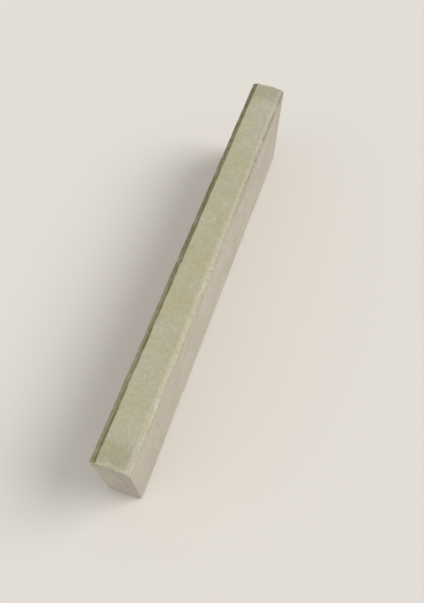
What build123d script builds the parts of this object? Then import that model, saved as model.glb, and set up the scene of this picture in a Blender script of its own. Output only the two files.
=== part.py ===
from build123d import *

import os

# Concrete kerb stone, the kind that is bedded upright between paving and planting.
# It is cast as one piece: a straight bar of one section, with both long top arrises
# chamfered and the other arrises only slightly eased, as they leave the mould.
#
# Frame: X across the stone, towards the paving; Y along it; Z up.
# The origin is the centre of the bedding face, which the stone stands on.
# All sizes are in millimetres.

# The bar
stone_length = 1000
stone_width = 80
stone_height = 250

# The chamfer along each long top arris, measured in from the side face and down from the top face
chamfer_run = 12
chamfer_drop = 7

# The rounding that the mould leaves on the section
crown_radius = 5  # where the top face turns into the chamfer
shoulder_radius = 3  # where the chamfer turns into the side face
foot_radius = 3  # where the side face turns into the bedding face

# The rounding round each end face, where two stones butt together
end_arris_radius = 1

with BuildPart() as kerb_stone:
    # Half of the section, on the paving side of the middle plane
    with BuildSketch(Plane.XZ) as section:
        with BuildLine() as half_outline:
            bed = Line((0, 0), (stone_width / 2, 0))
            side = Line(bed @ 1, (stone_width / 2, stone_height - chamfer_drop))
            chamfer_face = Line(side @ 1, (stone_width / 2 - chamfer_run, stone_height))
            top = Line(chamfer_face @ 1, (0, stone_height))
            Line(top @ 1, bed @ 0)
        make_face()

        foot = section.vertices().group_by(Axis.X)[-1].sort_by(Axis.Y)[0]
        fillet(foot, radius=foot_radius)
        shoulder = section.vertices().group_by(Axis.X)[-1].sort_by(Axis.Y)[-1]
        fillet(shoulder, radius=shoulder_radius)
        crown = section.vertices().group_by(Axis.Y)[-1].sort_by(Axis.X)[-1]
        fillet(crown, radius=crown_radius)

        # The planting side is the same, the other way round
        mirror(about=Plane.YZ)

    extrude(amount=stone_length / 2, both=True)

    end_faces = kerb_stone.faces().filter_by(Axis.Y)
    fillet(end_faces.edges(), radius=end_arris_radius)

kerb_stone.part.label = "kerb_stone"

os.makedirs("parts", exist_ok=True)
export_step(kerb_stone.part, "parts/kerb_stone.step")
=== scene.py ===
"""The look of a cast concrete kerb stone: its worn surface, its weathered finish, and its stage.

Everything is in metres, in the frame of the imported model. X runs across the stone, from its back to its
front, Y along it, from its near end to its far end, and Z up. It stands on its bedding face at Z = 0.
"""

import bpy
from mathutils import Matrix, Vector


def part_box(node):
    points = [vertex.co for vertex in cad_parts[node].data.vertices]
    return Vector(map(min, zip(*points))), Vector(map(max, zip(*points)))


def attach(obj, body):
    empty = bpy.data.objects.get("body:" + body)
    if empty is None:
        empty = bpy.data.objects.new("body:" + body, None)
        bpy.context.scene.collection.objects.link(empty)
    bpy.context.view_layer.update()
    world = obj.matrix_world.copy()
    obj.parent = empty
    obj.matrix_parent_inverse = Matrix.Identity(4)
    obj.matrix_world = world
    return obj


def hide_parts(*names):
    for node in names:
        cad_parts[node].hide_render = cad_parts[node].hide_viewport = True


bl_info = {
    "name": "Concrete Kerb Stone",
    "version": (1, 0, 0),
    "blender": (4, 5, 0),
    "location": "3D View > Sidebar > Kerb Stone",
    "description": "Casts a weathered concrete kerb stone and sets it up for a picture",
    "category": "Add Mesh",
}

import math

import bpy
import numpy as np
from bpy.props import FloatProperty, FloatVectorProperty, IntProperty, PointerProperty
from mathutils import Matrix

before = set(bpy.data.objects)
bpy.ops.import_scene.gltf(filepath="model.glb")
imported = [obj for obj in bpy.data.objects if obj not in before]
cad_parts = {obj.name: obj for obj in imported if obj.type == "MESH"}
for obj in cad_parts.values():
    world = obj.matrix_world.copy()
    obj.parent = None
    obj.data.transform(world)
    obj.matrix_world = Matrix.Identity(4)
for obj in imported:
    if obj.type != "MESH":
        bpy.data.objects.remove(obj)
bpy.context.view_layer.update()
LOWEST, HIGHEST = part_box("kerb_stone")
WIDTH, LENGTH, HEIGHT = HIGHEST - LOWEST
MM = 0.001


def colour(red, green, blue):
    """A colour as it shows on a screen, from 0 to 255, as the linear values that a shader takes."""
    shown = [channel / 255 for channel in (red, green, blue)]
    return [c / 12.92 if c <= 0.04045 else ((c + 0.055) / 1.055) ** 2.4 for c in shown]


def length_property(name, description, default):
    settings = {"unit": "LENGTH", "subtype": "DISTANCE"}
    return FloatProperty(name=name, description=description, default=default, **settings)


def angle_property(name, description, degrees):
    return FloatProperty(name=name, description=description, default=math.radians(degrees), subtype="ANGLE")


def count_property(name, description, default):
    return IntProperty(name=name, description=description, default=default, min=0)


def colour_property(name, description, default):
    settings = {"subtype": "COLOR", "min": 0, "max": 1}
    return FloatVectorProperty(name=name, description=description, default=default, **settings)


class KerbStoneShape(bpy.types.PropertyGroup):
    """The section, the wear of its arrises and the roughness that casting leaves."""

    chamfer_run: length_property("Chamfer run", "Reach of each top chamfer in from the side", 12 * MM)
    chamfer_drop: length_property("Chamfer drop", "Reach of each top chamfer down from the top", 7 * MM)
    crown_radius: length_property("Crown radius", "Rounding where the top turns into a chamfer", 5 * MM)
    shoulder_radius: length_property("Shoulder radius", "Rounding where a chamfer meets a side", 3 * MM)
    foot_radius: length_property("Foot radius", "Rounding where a side turns into the bed", 3 * MM)
    end_radius: length_property("End radius", "Rounding round each end face", 1 * MM)
    waviness: length_property("Waviness", "Depth of the slow waves in the cast faces", 0.3 * MM)
    roughness: length_property("Roughness", "Depth of the grit laid bare on the arrises", 0.25 * MM)
    bed_roughness: length_property("Bed roughness", "Unevenness of the bedding face", 0.9 * MM)
    arris_wear: length_property("Arris wear", "Most that the arrises are worn back", 0.6 * MM)
    front_chips: count_property("Front chips", "Chips along the front shoulder", 36)
    back_chips: count_property("Back chips", "Chips along the back shoulder", 20)
    end_chips: count_property("End chips", "Chips along each arris of an end face", 7)
    foot_chips: count_property("Foot chips", "Chips along each foot", 16)
    seed: count_property("Seed", "Picks another stone of the same kind", 4)


class KerbStoneFinish(bpy.types.PropertyGroup):
    """The colours of the concrete, of what has settled on it, and of the shade painted on its back chamfer.
    """

    cement: colour_property("Cement", "Clean cast concrete", colour(193, 185, 172))
    thin_film: colour_property("Thin film", "Algae film where it is greyish", colour(182, 176, 153))
    thick_film: colour_property("Thick film", "Algae film where it is olive", colour(177, 171, 138))
    stain: colour_property("Stain", "Damp and dirt drawn into the sides", colour(180, 171, 154))
    # The two colours below are partly dirt and partly painted shade, on the back chamfer and along its
    # crown.
    chamfer_grime_and_shade: colour_property("Chamfer grime", "Dirt on the back chamfer", colour(148, 142, 109))
    crown_grime_and_shade: colour_property("Crown grime", "Dirt along the back crown", colour(110, 105, 75))
    rubbed: colour_property("Rubbed", "Concrete rubbed clean and pale", colour(201, 194, 174))
    silt: colour_property("Silt", "Brownish dirt low on the front chamfer", colour(150, 141, 124))
    pale_sand: colour_property("Pale sand", "Light sand grains", colour(216, 208, 190))
    dark_sand: colour_property("Dark sand", "Dark sand grains", colour(124, 116, 102))


class KerbStoneStage(bpy.types.PropertyGroup):
    """The floor, the lamps and the camera."""

    floor: colour_property("Floor", "Plain floor and background", colour(228, 223, 215))
    sky: FloatProperty(
        name="Sky",
        description="Strength of the even light from all round",
        default=0.56,
    )
    key: FloatProperty(
        name="Key lamp",
        description="Share of the light on level ground that the key lamp gives",
        default=0.37,
    )
    fill: FloatProperty(
        name="Fill lamp",
        description="Share of the light on level ground that the fill lamp gives",
        default=0.06,
    )
    camera_place: FloatVectorProperty(
        name="Camera place",
        description="Where the camera stands",
        default=(0.235, -0.653, 1.344),
        subtype="TRANSLATION",
        unit="LENGTH",
    )
    heading: angle_property("Heading", "Turn of the camera to the left of +Y", 17.77)
    tilt: angle_property("Tilt", "How far the camera looks below level", 62.97)
    roll: angle_property("Roll", "Turn of the camera about its own axis", 1.52)
    focal_length: FloatProperty(
        name="Focal length",
        description="In millimetres, on a sensor of the width below",
        default=35.88,
    )
    sensor_width: FloatProperty(
        name="Sensor width",
        description="In millimetres",
        default=36.0,
    )


# The form of the stone

STEP = 1.2 * MM  # between points beside an arris
BLOCK = 6  # how many such steps a face of a flat covers each way
FINE_REACH = 5 * MM  # how far from an arris the small faces go
ACROSS = 24  # steps across half of the top, and of the bed
ROUND_END = 4  # steps round the rounding of an end face


def half_section(shape):
    """Half of the section, from the middle of the bed round the front to the middle of the top.

    Returns its points as rows of x and z, and the outward direction at each."""
    half_width = WIDTH / 2
    corners = np.array([
        (0, 0),
        (half_width, 0),
        (half_width, HEIGHT - shape.chamfer_drop),
        (half_width - shape.chamfer_run, HEIGHT),
        (0, HEIGHT),
    ])
    radii = [0, shape.foot_radius, shape.shoulder_radius, shape.crown_radius, 0]
    runs = np.diff(corners, axis=0)
    along = runs / np.linalg.norm(runs, axis=1)[:, None]
    outward = np.stack([along[:, 1], -along[:, 0]], axis=1)
    last = len(runs) - 1
    turns = [0] + [math.acos(float(along[i - 1] @ along[i])) for i in range(1, len(runs))] + [0]
    cut_back = [radius * math.tan(turn / 2) for radius, turn in zip(radii, turns)]

    places, directions = [corners[0]], [outward[0]]
    for i in range(len(runs)):
        start = corners[i] + along[i] * cut_back[i]
        length = float(np.linalg.norm(runs[i])) - cut_back[i] - cut_back[i + 1]
        steps = ACROSS if i in (0, last) else round(length / STEP)
        for step in range(1, steps + 1):
            places.append(start + along[i] * length * step / steps)
            directions.append(outward[i])
        centre = places[-1] - outward[i] * radii[i + 1]
        steps = math.ceil(turns[i + 1] * radii[i + 1] / STEP)
        for step in range(1, steps + 1):
            angle = turns[i + 1] * step / steps
            direction = outward[i] * math.cos(angle) + along[i] * math.sin(angle)
            places.append(centre + direction * radii[i + 1])
            directions.append(direction)
    return np.array(places), np.array(directions)


def beside_arris(points, to_edge, shape):
    """Whether each point is near an arris. to_edge is how far it is from the edge of its own sheet."""
    side, up = np.abs(points[..., 0]), points[..., 2]
    foot = np.hypot(WIDTH / 2 - side, up) < FINE_REACH
    head = side > WIDTH / 2 - shape.chamfer_run - FINE_REACH
    head &= up > HEIGHT - shape.chamfer_drop - FINE_REACH
    return foot | head | (to_edge < FINE_REACH)


def sheet_faces(numbers, near):
    """Faces over a grid of point numbers: one for each block, but small ones in a block near an arris.

    Beside small faces a block's outline takes in all the points along that side, so that the sheet stays
    closed."""
    rows, columns = (list(range(0, count - 1, BLOCK)) + [count - 1] for count in numbers.shape)
    small = np.array([
        [near[a:b + 1, c:d + 1].any() for c, d in zip(columns, columns[1:])]
        for a, b in zip(rows, rows[1:])
    ])
    cells = np.repeat(np.repeat(small, np.diff(rows), axis=0), np.diff(columns), axis=1)
    quads = np.stack([numbers[:-1, :-1], numbers[:-1, 1:], numbers[1:, 1:], numbers[1:, :-1]], axis=-1)
    faces = quads[cells].tolist()
    for i, j in zip(*np.nonzero(~small)):
        a, b, c, d = rows[i], rows[i + 1], columns[j], columns[j + 1]
        sides = (
            (numbers[a, c:d + 1], small[i - 1, j]),
            (numbers[a:b + 1, d], small[i, (j + 1) % small.shape[1]]),
            (numbers[b, c:d + 1][::-1], small[(i + 1) % small.shape[0], j]),
            (numbers[a:b + 1, c][::-1], small[i, j - 1]),
        )
        faces.append([int(n) for line, beside in sides for n in (line[:-1] if beside else line[:1])])
    return faces


def long_sheet(half, half_directions, radius):
    """Rings of points round the section, from one end to the other, and the outward direction at each."""
    mirror = np.array([-1, 1])
    ring = np.concatenate([half, half[-2:0:-1] * mirror])
    ring_directions = np.concatenate([half_directions, half_directions[-2:0:-1] * mirror])
    bend = np.linspace(math.pi / 2, 0, ROUND_END + 1)[:-1]
    straight = LENGTH / 2 - radius
    end_y = straight + radius * np.sin(bend)
    run = np.linspace(-straight, straight, round(2 * straight / STEP) + 1)
    stations = np.concatenate([-end_y, run, end_y[::-1]])
    lean = np.concatenate([-bend, np.zeros(len(run)), bend[::-1]])
    inset = ring[None] - ring_directions[None] * (radius * (1 - np.cos(lean)))[:, None, None]
    level = ring_directions[None] * np.cos(lean)[:, None, None]
    points = np.insert(inset, 1, stations[:, None], axis=2)
    outward = np.insert(level, 1, np.sin(lean)[:, None], axis=2)
    return points, outward


def end_sheet(edge, spread, y, ring_numbers, first_number, shape):
    """The points and faces that close one end, in rows from side to side.

    The edge of this sheet is the last ring of the long sheet, whose numbers are given."""
    points = np.zeros((len(edge), len(spread), 3))
    points[..., 0] = edge[:, :1] * spread
    points[..., 1] = y
    points[..., 2] = edge[:, 1:]
    numbers = first_number + np.arange(points[..., 0].size).reshape(points.shape[:2])
    columns = np.arange(-ACROSS, ACROSS + 1)
    rows = np.arange(ACROSS, ACROSS + len(edge))
    middle_of_top = len(edge) + 2 * ACROSS - 1
    numbers[0] = ring_numbers[columns]
    numbers[-1] = ring_numbers[middle_of_top - columns]
    numbers[:, -1] = ring_numbers[rows]
    numbers[:, 0] = ring_numbers[-rows]
    to_edge = np.minimum(WIDTH / 2 - np.abs(points[..., 0]), points[..., 2])
    near = beside_arris(points, np.minimum(to_edge, HEIGHT - points[..., 2]), shape)
    turned = slice(None, None, 1 if y < 0 else -1)
    return points.reshape(-1, 3), sheet_faces(numbers[:, turned], near[:, turned])


def stone_mesh(shape):
    """The stone before it is worn: its points, the outward direction at each, and its faces."""
    half, half_directions = half_section(shape)
    sheet, sheet_outward = long_sheet(half, half_directions, shape.end_radius)
    numbers = np.arange(sheet[..., 0].size).reshape(sheet.shape[:2])
    near = beside_arris(sheet, LENGTH / 2 - np.abs(sheet[..., 1]), shape)
    closed = [np.concatenate([grid, grid[:, :1]], axis=1).T for grid in (numbers, near)]
    faces = sheet_faces(*closed)
    points, outward = [sheet.reshape(-1, 3)], [sheet_outward.reshape(-1, 3)]

    edge = (half - half_directions * shape.end_radius)[ACROSS:len(half) - ACROSS]
    spread = half[:ACROSS + 1, 0] / half[ACROSS, 0]
    spread = np.concatenate([-spread[:0:-1], spread])
    for ring_numbers, y in ((numbers[0], -LENGTH / 2), (numbers[-1], LENGTH / 2)):
        first_number = sum(len(group) for group in points)
        end_points, end_faces = end_sheet(edge, spread, y, ring_numbers, first_number, shape)
        faces += end_faces
        points.append(end_points)
        outward.append(np.tile([0, math.copysign(1, y), 0], (len(end_points), 1)))

    # Points that no face uses are left out
    used, corners = np.unique(np.concatenate(faces), return_inverse=True)
    ends = np.cumsum([len(face) for face in faces])
    corners = corners.tolist()
    faces = [corners[end - len(face):end] for face, end in zip(faces, ends)]
    return np.concatenate(points)[used], np.concatenate(outward)[used], faces


def ripple(points, size, seed):
    """Smooth noise from -1 to 1: random values on a lattice with cells of this size, blended between."""
    cells = 64
    table = np.random.default_rng(seed).uniform(-1, 1, (cells, cells, cells))
    cell = np.floor(points / size).astype(int)
    part = points / size - cell
    part = part * part * (3 - 2 * part)
    total = np.zeros(len(points))
    for corner in np.ndindex(2, 2, 2):
        share = np.prod(np.where(corner, part, 1 - part), axis=1)
        total += share * table[tuple(((cell + corner) % cells).T)]
    return total


def two_ripples(points, sizes, seeds):
    """Noise of two sizes, from 0 to 1, with more of the first size than of the second."""
    coarse, fine = (ripple(points, size, seed) for size, seed in zip(sizes, seeds))
    return 0.5 + 0.3 * coarse + 0.2 * fine


# How far the wear of each kind of arris reaches
CROWN_REACH = 3.0 * MM
SHOULDER_REACH = 3.2 * MM
FOOT_REACH = 3.5 * MM
END_REACH = 2.6 * MM


def arris_closeness(points, shape):
    """How close each point is to each kind of arris, from 0 to 1: crown, shoulder, foot and end."""
    side, up = np.abs(points[:, 0]), points[:, 2]
    half_width = WIDTH / 2
    lines = (
        (half_width - shape.chamfer_run, HEIGHT, CROWN_REACH),
        (half_width, HEIGHT - shape.chamfer_drop, SHOULDER_REACH),
        (half_width, 0, FOOT_REACH),
    )
    closeness = [np.exp(-((side - x) ** 2 + (up - z) ** 2) / reach**2) for x, z, reach in lines]
    inside = np.clip(np.minimum(np.minimum(half_width - side, up), HEIGHT - up), 0, None)
    to_end = np.hypot(LENGTH / 2 - np.abs(points[:, 1]), inside)
    return [*closeness, np.exp(-((to_end / END_REACH) ** 2))]


def casting_depth(points, outward, shape):
    """How far the cast surface lies below the true one: slow waves everywhere, and a rough bed."""
    waves = two_ripples(points, (85 * MM, 31 * MM), (shape.seed + 1, shape.seed + 2))
    lumps = two_ripples(points, (24 * MM, 12 * MM), (shape.seed + 4, shape.seed + 5))
    bed = np.clip(-outward[:, 2], 0, 1) ** 4
    return shape.waviness * waves + shape.bed_roughness * bed * lumps


def wear_depth(points, shape):
    """How far the arrises are worn back, unevenly along their length, with the grit that this leaves."""
    uneven = two_ripples(points, (34 * MM, 8 * MM), (shape.seed + 6, shape.seed + 7))
    grit = np.abs(ripple(points, 3.1 * MM, shape.seed + 3))
    crown, shoulder, foot, end = arris_closeness(points, shape)
    worn = np.max([0.35 * crown, shoulder, 0.8 * foot, 0.6 * end], axis=0)
    touched = np.max([0.6 * crown, shoulder, foot, end], axis=0)
    return shape.arris_wear * worn * uneven + shape.roughness * touched * grit


# Each kind of chip: its reach and its depth, which vary round these
SHOULDER_CHIP = 8 * MM, 2.9 * MM
FOOT_CHIP = 8 * MM, 2.6 * MM
UPRIGHT_CHIP = 6 * MM, 1.9 * MM
TOP_CHIP = 5 * MM, 1.5 * MM
BED_CHIP = 7 * MM, 2.2 * MM

# How far a rounding lies inside its sharp corner, as a share of its radius
SHOULDER_INSET = 0.16
SQUARE_INSET = 0.41

CLEAR_OF_CORNERS = 0.02  # share of an arris that has no chips at each of its ends
CHIP_TILT = 0.15  # how far the direction of a chip strays
CHIP_STRETCH = 1.4  # how much longer than wide a chip can be
CHIP_RAGGEDNESS = 0.35  # how far grit roughens a chip, as a share of its depth
CHIP_RIM = 0.3  # depth of the rim that isn't fully broken, as a share of the chip's


def chip_spots(shape):
    """Each chip: the point that it is struck from, its outward direction, its reach and its depth."""
    rng = np.random.default_rng(shape.seed)
    half_width, half_length, shoulder = WIDTH / 2, LENGTH / 2, HEIGHT - shape.chamfer_drop
    at_shoulder = SHOULDER_INSET * shape.shoulder_radius
    at_foot = SQUARE_INSET * shape.foot_radius
    at_end = SQUARE_INSET * shape.end_radius
    spots = []

    def strike(count, start, end, outward, rounding, chip):
        start, end, outward = np.array(start), np.array(end), np.array(outward) / np.linalg.norm(outward)
        lengthwise = (end - start) / np.linalg.norm(end - start)
        size, depth = chip
        for _ in range(count):
            share = rng.uniform(CLEAR_OF_CORNERS, 1 - CLEAR_OF_CORNERS)
            place = start + (end - start) * share - outward * rounding
            direction = outward + rng.normal(0, CHIP_TILT, 3)
            direction /= np.linalg.norm(direction)
            bigger = rng.uniform(0, 1) ** 3
            radius = size * (0.5 + 1.1 * bigger)
            reach = radius * (1 + lengthwise * rng.uniform(0, CHIP_STRETCH))
            spots.append((place, direction, reach, depth * (0.5 + 1.2 * bigger)))

    for side, count in ((1, shape.front_chips), (-1, shape.back_chips)):
        x = side * half_width
        near_top, far_top = (x, -half_length, shoulder), (x, half_length, shoulder)
        near_bed, far_bed = (x, -half_length, 0), (x, half_length, 0)
        strike(count, near_top, far_top, (side * 0.87, 0, 0.5), at_shoulder, SHOULDER_CHIP)
        strike(shape.foot_chips, near_bed, far_bed, (side, 0, -1), at_foot, FOOT_CHIP)
        strike(shape.end_chips, near_bed, near_top, (side, -1, 0), at_end, UPRIGHT_CHIP)
        strike(shape.end_chips, far_bed, far_top, (side, 1, 0), at_end, UPRIGHT_CHIP)
    for y, out in ((-half_length, -1), (half_length, 1)):
        for z, up, chip in ((HEIGHT, 1, TOP_CHIP), (0, -1, BED_CHIP)):
            strike(shape.end_chips, (-half_width, y, z), (half_width, y, z), (0, out, up), at_end, chip)
    return spots


def struck(points, shape):
    """The points with the chips struck off the arrises, and how far in a chip each lies, from 0 to 1."""
    points, chipped = points.copy(), np.zeros(len(points))
    coarse = ripple(points, 4.3 * MM, shape.seed + 8)
    fine = ripple(points, 2.2 * MM, shape.seed + 9)
    grit = 0.6 * coarse + 0.4 * fine
    for place, outward, reach, depth in chip_spots(shape):
        # A chip is an egg-shaped scoop. Stretched back to a ball, it is as deep all round its centre
        ball = float(np.min(reach))
        centre = place + outward * (ball - depth)
        within = 2.5 * np.max(reach)
        nearby = np.flatnonzero(np.linalg.norm(points - place, axis=1) < within)
        away = (points[nearby] - centre) * ball / reach
        distance = np.linalg.norm(away, axis=1)
        surface = ball + CHIP_RAGGEDNESS * depth * grit[nearby]
        hit = distance < surface
        here = nearby[hit]
        broken = np.clip((surface[hit] - distance[hit]) / (CHIP_RIM * depth), 0, 1)
        chipped[here] = np.maximum(chipped[here], broken)
        points[here] = centre + away[hit] * reach / ball * (surface[hit] / distance[hit])[:, None]
    return points, chipped


# The finish


class Value:
    """A node's output that Python expressions can be written on. Each operation on it adds a Math node."""

    def __init__(self, finish, socket):
        self.finish = finish
        self.socket = socket

    def also(self, output):
        """Another output of the same node."""
        return Value(self.finish, self.socket.node.outputs[output])

    def math(self, operation, *values):
        return self.finish.math(operation, self, *values)

    def __add__(self, other):
        return self.math("ADD", other)

    def __sub__(self, other):
        return self.math("SUBTRACT", other)

    def __rsub__(self, other):
        return self.finish.math("SUBTRACT", other, self)

    def __mul__(self, other):
        return self.math("MULTIPLY", other)

    def __truediv__(self, other):
        return self.math("DIVIDE", other)

    def __rtruediv__(self, other):
        return self.finish.math("DIVIDE", other, self)

    def __neg__(self):
        return self * -1

    def __abs__(self):
        return self.math("ABSOLUTE")

    __radd__ = __add__
    __rmul__ = __mul__

    def held(self):
        """The value held between 0 and 1."""
        return self.finish.node("ShaderNodeClamp", {}, {"Value": self})

    def step(self, low, high):
        """0 below low, 1 above high and smooth between them. With low above high it falls instead."""
        limits = {"From Min": min(low, high), "From Max": max(low, high)}
        ends = {"To Min": 0 if low < high else 1, "To Max": 1 if low < high else 0}
        settings = {"interpolation_type": "SMOOTHSTEP"}
        return self.finish.node("ShaderNodeMapRange", settings, {"Value": self, **limits, **ends})


class Finish:
    """The nodes of a material or of the world."""

    def __init__(self, owner):
        owner.use_nodes = True
        self.owner = owner
        self.tree = owner.node_tree
        self.tree.nodes.clear()

    def node(self, kind, settings, inputs, output=0):
        """Adds a node with these settings, fills its inputs from values or links, returns one output."""
        node = self.tree.nodes.new(kind)
        for name, setting in settings.items():
            setattr(node, name, setting)
        for name, value in inputs.items():
            if isinstance(value, Value):
                self.tree.links.new(value.socket, node.inputs[name])
            else:
                node.inputs[name].default_value = value
        return Value(self, node.outputs[output]) if node.outputs else None

    def math(self, operation, *values):
        return self.node("ShaderNodeMath", {"operation": operation}, dict(enumerate(values)))

    def vector_math(self, operation, *vectors, output=0):
        inputs = dict(enumerate(vectors))
        return self.node("ShaderNodeVectorMath", {"operation": operation}, inputs, output)

    def scaled(self, vector, scale):
        """A colour or vector times one value."""
        return self.node("ShaderNodeVectorMath", {"operation": "SCALE"}, {0: vector, "Scale": scale})

    def mix(self, share, first, second):
        """The first colour, and as much of the second as share says."""
        # A Mix node takes colours at its inputs 6 and 7, and gives one at its output 2
        colours = {0: share}
        for index, shade in ((6, first), (7, second)):
            colours[index] = shade if isinstance(shade, Value) else (*shade, 1)
        return self.node("ShaderNodeMix", {"data_type": "RGBA"}, colours, output=2)

    def clouds(self, place, size, detail=2.0, roughness=0.5):
        """Soft noise round 0, mostly from -1 to 1, with patches of this size."""
        spread = 6
        inputs = {"Vector": place, "Scale": 1 / size, "Detail": detail, "Roughness": roughness}
        return self.node("ShaderNodeTexNoise", {}, inputs) * spread - spread / 2

    def jostled(self, place, size, reach):
        """The place moved about by noise, so that what is drawn there has ragged edges."""
        inputs = {"Vector": place, "Scale": 1 / size, "Detail": 2.0}
        wander = self.node("ShaderNodeTexNoise", {}, inputs, output="Color")
        return self.vector_math("MULTIPLY_ADD", wander, (reach,) * 3, place)

    def soft_spot(self, place, centre, reach):
        """1 in the middle of a soft oval spot and 0 outside it."""
        outer, inner = 1.15, 0.55
        away = self.vector_math("SUBTRACT", place, centre)
        away = self.vector_math("DIVIDE", away, reach)
        return self.vector_math("LENGTH", away, output="Value").step(outer, inner)

    def specks(self, place, cell, share, largest, rim):
        """Specks of different sizes: one in this share of the cells, at most this large across.

        0 outside, and rising from the edge to 1 over a rim that is this share of the radius."""
        smallest, blur = 0.3, 0.02
        distance = self.node("ShaderNodeTexVoronoi", {}, {"Vector": place, "Scale": 1 / cell})
        chance = self.node("ShaderNodeSeparateColor", {}, {0: distance.also("Color")})
        radius = (chance.also("Green") * (1 - smallest) + smallest) * (largest / cell / 2)
        return (1 - distance / radius).step(0, rim) * chance.step(share + blur, share - blur)

    def surface(self, inputs):
        """Ends the material in one Principled shader, and returns it."""
        shader = self.node("ShaderNodeBsdfPrincipled", {}, inputs)
        self.node("ShaderNodeOutputMaterial", {}, {"Surface": shader})
        return self.owner


# Each layer of the finish begins at the first of its two values, and is whole at the second.
# How far down from the top
ON_TOP = 3 * MM, 1 * MM
FILM = 42 * MM, 6 * MM
GRIME_AND_SHADE = 24 * MM, 5 * MM
RUBBED = 15 * MM, 8 * MM
RUBBED_END = 5 * MM, 2 * MM
SILT = 20 * MM, 9 * MM

# How far down from the shoulder
ON_SIDE = 0, 3 * MM

# How far out past a crown
GRIME_AND_SHADE_ACROSS = -3.2 * MM, 0.8 * MM
DARK_CROWN = 5 * MM, 3 * MM
PALE_BESIDE_GRIME_AND_SHADE = -7 * MM, -3 * MM
RUBBED_ACROSS = 2.5 * MM, 7.5 * MM

# How far to either side of the line that runs this much inside the front crown
FRONT_LINE = 2.2 * MM, 0.4 * MM
FRONT_LINE_INSIDE = 1 * MM

# How far towards the front from the middle
WASHED_ACROSS = 2 * MM, 30 * MM
RUBBED_END_ACROSS = -30 * MM, 0

# How far in from the front
SILT_ACROSS = 6.5 * MM, 3 * MM

# How far in from an end
ON_END = 1.8 * MM, 0.9 * MM
RUBBED_END_ALONG = 14 * MM, 5 * MM
DAMP_INSIDE = 62 * MM, 40 * MM
DAMP_OUTSIDE = 2 * MM, 12 * MM

# How far along, in shares of the length, from -0.5 at the near end to 0.5 at the far end
NEARER = 0.02, -0.18
FURTHER = 0.16, 0.42
NEAR_TIP = -0.39, -0.46
BOTH_TIPS = 0.26, 0.43
SILT_ALONG = -0.1, 0.32

# The centres of the two greyish spots in the film, and their reach along X, Y and Z
NEAR_SPOT = (15 * MM, -0.36 * LENGTH, HEIGHT), (90 * MM, 90 * MM, 100 * MM)
FAR_SPOT = (45 * MM, 0.4 * LENGTH, HEIGHT), (55 * MM, 120 * MM, 100 * MM)

# The size of the cells that grains and holes lie in, the share of the cells that have one, how large
# across it is at most, and how wide its rim is, as a share of its radius
PALE_SAND = {"cell": 2.1 * MM, "share": 0.5, "largest": 1.7 * MM, "rim": 0.5}
DARK_SAND = {"cell": 2.4 * MM, "share": 0.4, "largest": 1.6 * MM, "rim": 0.5}
PINHOLES = {"cell": 6 * MM, "share": 0.5, "largest": 1.5 * MM, "rim": 0.7}
AIR_HOLES = {"cell": 22 * MM, "share": 0.45, "largest": 3.6 * MM, "rim": 0.8}
OFF_PALE_SAND = 10 * MM, 20 * MM, 30 * MM  # moves the dark grains off the pale ones


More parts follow.
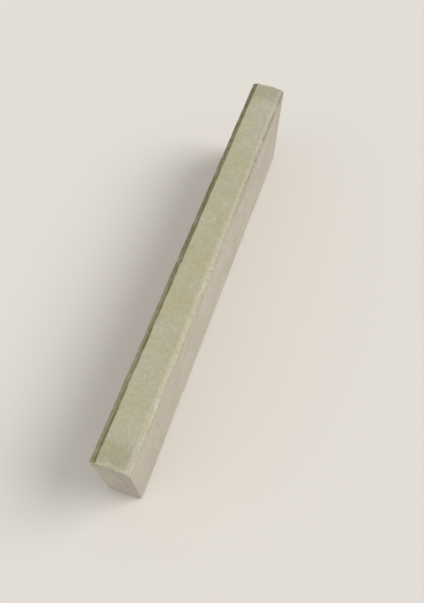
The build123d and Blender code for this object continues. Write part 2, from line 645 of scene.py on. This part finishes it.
class WeatheredConcrete(Finish):
    """Cast concrete with algae on top, dirt and painted shade on the back chamfer and a rubbed, silted
    front chamfer.
    """

    def __init__(self, shape, colours):
        super().__init__(bpy.data.materials.new("weathered_concrete"))
        self.colours = colours
        self.find_places(shape)
        self.draw_noise()
        self.draw_grains()
        self.lay_film()
        self.lay_grime_and_shade()
        self.rub_and_silt()

    def find_places(self, shape):
        """How far each point is from the top, the crowns, the front and the ends."""
        self.place = self.node("ShaderNodeTexCoord", {}, {}, output="Object")
        self.chipped = self.node("ShaderNodeAttribute", {"attribute_name": "chipped"}, {}, output="Fac")
        self.x = self.node("ShaderNodeSeparateXYZ", {}, {0: self.place})
        y, z = self.x.also("Y"), self.x.also("Z")
        crown = WIDTH / 2 - shape.chamfer_run
        self.past_front_crown = self.x - crown
        self.past_back_crown = -self.x - crown
        self.below_top = HEIGHT - z
        self.on_top = self.below_top.step(*ON_TOP)
        self.on_side = (self.below_top - shape.chamfer_drop).step(*ON_SIDE)
        self.to_end = LENGTH / 2 - abs(y)
        self.off_end = 1 - self.to_end.step(*ON_END)
        self.along = y / LENGTH
        self.further = self.along.step(*FURTHER)

    def draw_noise(self):
        """Noise round 0: clouds of every size down to the sand, patches, flecks, grit and runs of water."""
        place = self.place
        lengthwise = self.vector_math("MULTIPLY", place, (1.0, 0.3, 1.0))
        upright = self.vector_math("MULTIPLY", place, (1.0, 1.0, 0.14))
        self.clouded = self.clouds(place, 70 * MM, 5.0, 1.0)
        self.broad = self.clouds(place, 110 * MM)
        self.patch = self.clouds(place, 26 * MM, 3)
        self.mottle = self.clouds(place, 11 * MM)
        self.fleck = self.clouds(place, 4.5 * MM)
        self.grit = self.clouds(place, 1.6 * MM)
        self.streak = self.clouds(lengthwise, 4 * MM)
        self.wavering = self.clouds(lengthwise, 13 * MM, 3)
        self.drag = self.clouds(upright, 3 * MM)
        self.drip = self.clouds(upright, 9 * MM, 3)

    def draw_grains(self):
        """Sand in the cement, pinholes, and on the sides the larger holes that air left."""
        ragged = self.jostled(self.place, 1.2 * MM, 0.9 * MM)
        self.pale_sand = self.specks(ragged, **PALE_SAND)
        self.dark_sand = self.specks(self.vector_math("ADD", ragged, OFF_PALE_SAND), **DARK_SAND)
        self.pinhole = self.specks(ragged, **PINHOLES)
        self.air_hole = self.specks(ragged, **AIR_HOLES) * self.on_side

    def lay_film(self):
        """The film of algae: it ends some way down the sides, and is thinner where it was washed."""
        tips = self.further.math("MAXIMUM", self.along.step(*NEAR_TIP))
        self.washed = (self.x + self.broad * 5 * MM).step(*WASHED_ACROSS) * tips
        runs = self.drip * 5 * MM + self.patch * 4 * MM
        self.film = (self.below_top - runs).step(*FILM) * (1 - 0.6 * self.washed)
        self.bare = 1 - 0.4 * self.film

        wandering = self.jostled(self.place, 40 * MM, 30 * MM)
        greyish = 0.3 * self.soft_spot(wandering, *NEAR_SPOT) + 0.6 * self.soft_spot(wandering, *FAR_SPOT)
        olive = 0.58 + 0.42 * self.patch + 0.04 * self.fleck + 0.3 * self.broad
        self.olive = (olive - greyish).held()

    def lay_grime_and_shade(self):
        """The dark at the back, partly dirt and partly painted shade: dark along the crown, and on the
        chamfer lighter towards the near end and darker towards the far end.
        """
        edge = self.past_back_crown - self.further * 1.2 * MM + self.wavering * 0.45 * MM
        self.behind = edge.step(*GRIME_AND_SHADE_ACROSS) * self.off_end
        runs = self.drip * 5 * MM + self.patch * 3 * MM
        self.grime_and_shade = self.behind * (self.below_top - runs).step(*GRIME_AND_SHADE)
        # Painted shade: towards the far end the back chamfer takes the darker colour.
        on_chamfer = 0.75 - 0.75 * self.along.step(*NEARER) + 0.15 * self.further
        dark = self.past_back_crown.step(*DARK_CROWN).math("MAXIMUM", on_chamfer)
        self.darker_grime_and_shade = (dark + 0.25 * self.streak).held()

    def rub_and_silt(self):
        """The front chamfer is rubbed pale in flecks, and so is the near end. Low down it is silted."""
        narrower = 2.8 * MM * abs(self.along).step(*BOTH_TIPS) - self.broad * 0.8 * MM
        band = (self.past_front_crown - narrower).step(*RUBBED_ACROSS) * self.below_top.step(*RUBBED)
        flecks = 0.56 + 0.12 * self.grit + 0.12 * self.fleck + 0.14 * self.streak + 0.24 * self.wavering
        band = band * (1 - 0.85 * self.further) * flecks.held()
        from_near_end = (0.5 + self.along) * LENGTH
        strip = from_near_end.step(*RUBBED_END_ALONG) * self.x.step(*RUBBED_END_ACROSS)
        strip = strip * self.below_top.step(*RUBBED_END)
        strip = strip * (0.3 + 0.2 * self.grit + 0.2 * self.fleck).held()
        self.rubbed = band.math("MAXIMUM", strip)

        from_front = WIDTH / 2 - self.x - self.patch * 0.8 * MM
        self.silt = from_front.step(*SILT_ACROSS) * self.below_top.step(*SILT) * self.off_end
        self.silt = self.silt * (0.12 + 0.88 * self.along.step(*SILT_ALONG))

    def layers(self):
        """The colour of the cast concrete, under the film, the dirt and painted shade at the back, the
        rubbed places and the silt.
        """
        colours = self.colours
        stained = (0.25 + 0.3 * self.broad + 0.2 * self.patch + 0.15 * self.drip).held()
        body = self.mix(stained, colours.cement, colours.stain)
        body = self.mix(self.film, body, self.mix(self.olive, colours.thin_film, colours.thick_film))
        # Dirt and painted shade at the back: darker along the crown and towards the far end.
        grime_and_shade_colour = self.mix(self.darker_grime_and_shade, colours.chamfer_grime_and_shade, colours.crown_grime_and_shade)
        cover = (self.grime_and_shade * (0.86 + 0.1 * self.streak + 0.16 * self.wavering)).held()
        body = self.mix(cover, body, grime_and_shade_colour)
        body = self.mix(self.rubbed, body, colours.rubbed)
        return self.mix(self.silt * (0.85 + 0.1 * self.fleck).held(), body, colours.silt)

    def tone(self):
        """How light each place is: clouds, drag marks of the mould, damp ends and a line at each crown."""
        grain = (0.1 * self.grit + 0.11 * self.fleck) * self.bare
        tone = 1 + 0.05 * self.clouded + 0.02 * self.patch + 0.034 * self.mottle + grain
        tone = tone + 0.03 * self.drag * self.on_side
        damp = self.to_end.step(*DAMP_INSIDE) * self.to_end.step(*DAMP_OUTSIDE)
        front_line = abs(self.past_front_crown + FRONT_LINE_INSIDE).step(*FRONT_LINE)
        front_line = front_line * (0.4 + 0.6 * self.streak).held()
        back_line = self.past_back_crown.step(*PALE_BESIDE_GRIME_AND_SHADE) * (1 - self.behind)
        back_line = back_line * (0.5 + 0.6 * self.fleck).held()
        tone = tone * (1 - 0.045 * self.washed) * (1 - 0.12 * damp * self.on_top)
        return tone * (1 - 0.12 * front_line * self.on_top) * (1 + 0.05 * back_line * self.on_top)

    def with_grains(self, body):
        """This colour with sand in it, broken concrete in the chips, and painted shade in the holes."""
        colours = self.colours
        body = self.mix(self.pale_sand * self.bare * (1 - 0.9 * self.grime_and_shade) * 0.6, body, colours.pale_sand)
        body = self.mix(self.dark_sand * self.bare * 0.5, body, colours.dark_sand)
        broken = self.mix(self.pale_sand * 0.8, colours.cement, colours.pale_sand)
        broken = self.scaled(broken, 1 + 0.16 * self.fleck + 0.1 * self.grit)
        body = self.mix(self.chipped * (0.75 - 0.4 * self.grime_and_shade - 0.35 * self.silt), body, broken)
        # Painted shade: the pinholes and air holes are darkened where their hollows lie.
        return self.scaled(body, 1 - 0.55 * self.pinhole.math("MAXIMUM", self.air_hole))

    def relief(self):
        """The fine relief: grit, drag marks, broken concrete, sand and holes."""
        cast = 0.07 * self.grit + 0.08 * self.fleck + 0.03 * self.drag * self.on_side
        broken = self.chipped * (0.12 * self.fleck + 0.1 * self.grit)
        sand = 0.12 * (self.pale_sand + self.dark_sand)
        return (cast + broken + sand - 0.5 * self.pinhole - 1.2 * self.air_hole) * MM

    def finished(self):
        """The material, with all of its layers."""
        height = {"Height": self.relief(), "Distance": 1.0, "Strength": 1.0}
        return self.surface({
            "Base Color": self.with_grains(self.scaled(self.layers(), self.tone())),
            "Roughness": (0.86 + 0.03 * self.fleck - 0.1 * self.pale_sand).held(),
            "Normal": self.node("ShaderNodeBump", {}, height),
            "Specular IOR Level": 0.35,
        })


class KERB_OT_cast_stone(bpy.types.Operator):
    """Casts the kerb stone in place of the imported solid, with worn arrises and its weathered finish"""

    bl_idname = "kerb.cast_stone"
    bl_label = "Cast the Kerb Stone"

    def execute(self, context):
        shape, colours = context.scene.kerb_shape, context.scene.kerb_finish
        points, outward, faces = stone_mesh(shape)
        depth = casting_depth(points, outward, shape) + wear_depth(points, shape)
        points, chipped = struck(points - outward * depth[:, None], shape)
        points = np.clip(points, LOWEST, HIGHEST)

        mesh = bpy.data.meshes.new("weathered_kerb_stone")
        mesh.from_pydata(points, [], faces)
        mesh.shade_smooth()
        attribute = mesh.attributes.new("chipped", "FLOAT", "POINT")
        attribute.data.foreach_set("value", chipped.astype(np.float32))
        mesh.materials.append(WeatheredConcrete(shape, colours).finished())
        if mesh.validate():
            raise RuntimeError("the stone's mesh has faces that don't hold together")
        stone = bpy.data.objects.new("weathered_kerb_stone", mesh)
        context.scene.collection.objects.link(stone)
        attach(stone, "root")
        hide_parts("kerb_stone")
        return {"FINISHED"}


def plain_floor(floor_colour):
    """A wide plain floor that meets a background of the same brightness."""
    finish = Finish(bpy.data.materials.new("plain_floor"))
    matt = {"Base Color": (*floor_colour, 1), "Roughness": 1.0, "Specular IOR Level": 0.0}
    reach = 60.0
    corners = [(-reach, -reach, 0), (reach, -reach, 0), (reach, reach, 0), (-reach, reach, 0)]
    mesh = bpy.data.meshes.new("floor")
    mesh.from_pydata(corners, [], [(0, 1, 2, 3)])
    mesh.materials.append(finish.surface(matt))
    floor = bpy.data.objects.new("floor", mesh)
    bpy.context.scene.collection.objects.link(floor)


def even_sky(strength, background):
    """Even light from all round, which shows as the plain background colour."""
    world = bpy.data.worlds.new("even_sky")
    bpy.context.scene.world = world
    sky = Finish(world)
    light = sky.node("ShaderNodeBackground", {}, {"Color": (1, 1, 1, 1), "Strength": strength})
    backdrop = sky.node("ShaderNodeBackground", {}, {"Color": (*background, 1)})
    seen = sky.node("ShaderNodeLightPath", {}, {}, output="Is Camera Ray")
    mirrored, through = seen.also("Is Glossy Ray"), seen.also("Is Transmission Ray")
    shows = seen.math("MAXIMUM", mirrored).math("MAXIMUM", through)
    both = sky.node("ShaderNodeMixShader", {}, {0: shows, 1: light, 2: backdrop})
    sky.node("ShaderNodeOutputWorld", {}, {"Surface": both})


def soft_lamp(name, towards, width, brightness):
    """A wide, far lamp in this direction.

    It gives level ground this share of the light that shows white as white."""
    up = np.array(towards, float)
    up /= np.linalg.norm(up)
    lamp = bpy.data.lights.new(name, "SUN")
    lamp.angle = width
    lamp.energy = brightness * math.pi / up[2]
    holder = bpy.data.objects.new(name, lamp)
    side = np.cross((0, 1, 0), up)
    side /= np.linalg.norm(side)
    holder.matrix_world = Matrix(np.stack([side, np.cross(up, side), up], axis=1).tolist()).to_4x4()
    bpy.context.scene.collection.objects.link(holder)


class KERB_OT_set_stage(bpy.types.Operator):
    """Lays the floor, hangs the lamps and sets up the camera"""

    bl_idname = "kerb.set_stage"
    bl_label = "Set the Stage"

    def execute(self, context):
        scene, stage = context.scene, context.scene.kerb_stage
        scene.view_settings.view_transform = "Standard"
        plain_floor(stage.floor)
        even_sky(stage.sky, stage.floor)
        soft_lamp("key_lamp", (0.66, 0.32, 0.75), math.radians(35), stage.key)
        soft_lamp("fill_lamp", (-0.5, -0.6, 0.62), math.radians(60), stage.fill)

        lens = bpy.data.cameras.new("camera")
        lens.sensor_width = stage.sensor_width
        lens.lens = stage.focal_length
        camera = bpy.data.objects.new("camera", lens)
        turn = Matrix.Rotation(stage.heading, 4, "Z") @ Matrix.Rotation(math.pi / 2 - stage.tilt, 4, "X")
        turn = turn @ Matrix.Rotation(stage.roll, 4, "Z")
        camera.matrix_world = Matrix.Translation(stage.camera_place) @ turn
        scene.collection.objects.link(camera)
        scene.camera = camera
        return {"FINISHED"}


class KERB_PT_sidebar(bpy.types.Panel):
    """Lists the stone's sizes, colours and steps"""

    bl_label = "Kerb Stone"
    bl_idname = "KERB_PT_sidebar"
    bl_space_type = "VIEW_3D"
    bl_region_type = "UI"
    bl_category = "Kerb Stone"

    def draw(self, context):
        layout, scene = self.layout, context.scene
        groups = (
            ("Shape", scene.kerb_shape),
            ("Finish", scene.kerb_finish),
            ("Stage", scene.kerb_stage),
        )
        for title, group in groups:
            box = layout.box()
            box.label(text=title)
            for name in type(group).__annotations__:
                box.prop(group, name)
        layout.operator(KERB_OT_cast_stone.bl_idname)
        layout.operator(KERB_OT_set_stage.bl_idname)


CLASSES = (
    KerbStoneShape,
    KerbStoneFinish,
    KerbStoneStage,
    KERB_OT_cast_stone,
    KERB_OT_set_stage,
    KERB_PT_sidebar,
)


def register():
    for each in CLASSES:
        bpy.utils.register_class(each)
    bpy.types.Scene.kerb_shape = PointerProperty(type=KerbStoneShape)
    bpy.types.Scene.kerb_finish = PointerProperty(type=KerbStoneFinish)
    bpy.types.Scene.kerb_stage = PointerProperty(type=KerbStoneStage)


def unregister():
    del bpy.types.Scene.kerb_shape, bpy.types.Scene.kerb_finish, bpy.types.Scene.kerb_stage
    for each in reversed(CLASSES):
        bpy.utils.unregister_class(each)


def main():
    register()
    bpy.ops.kerb.cast_stone()
    bpy.ops.kerb.set_stage()


if __name__ == "__main__":
    main()
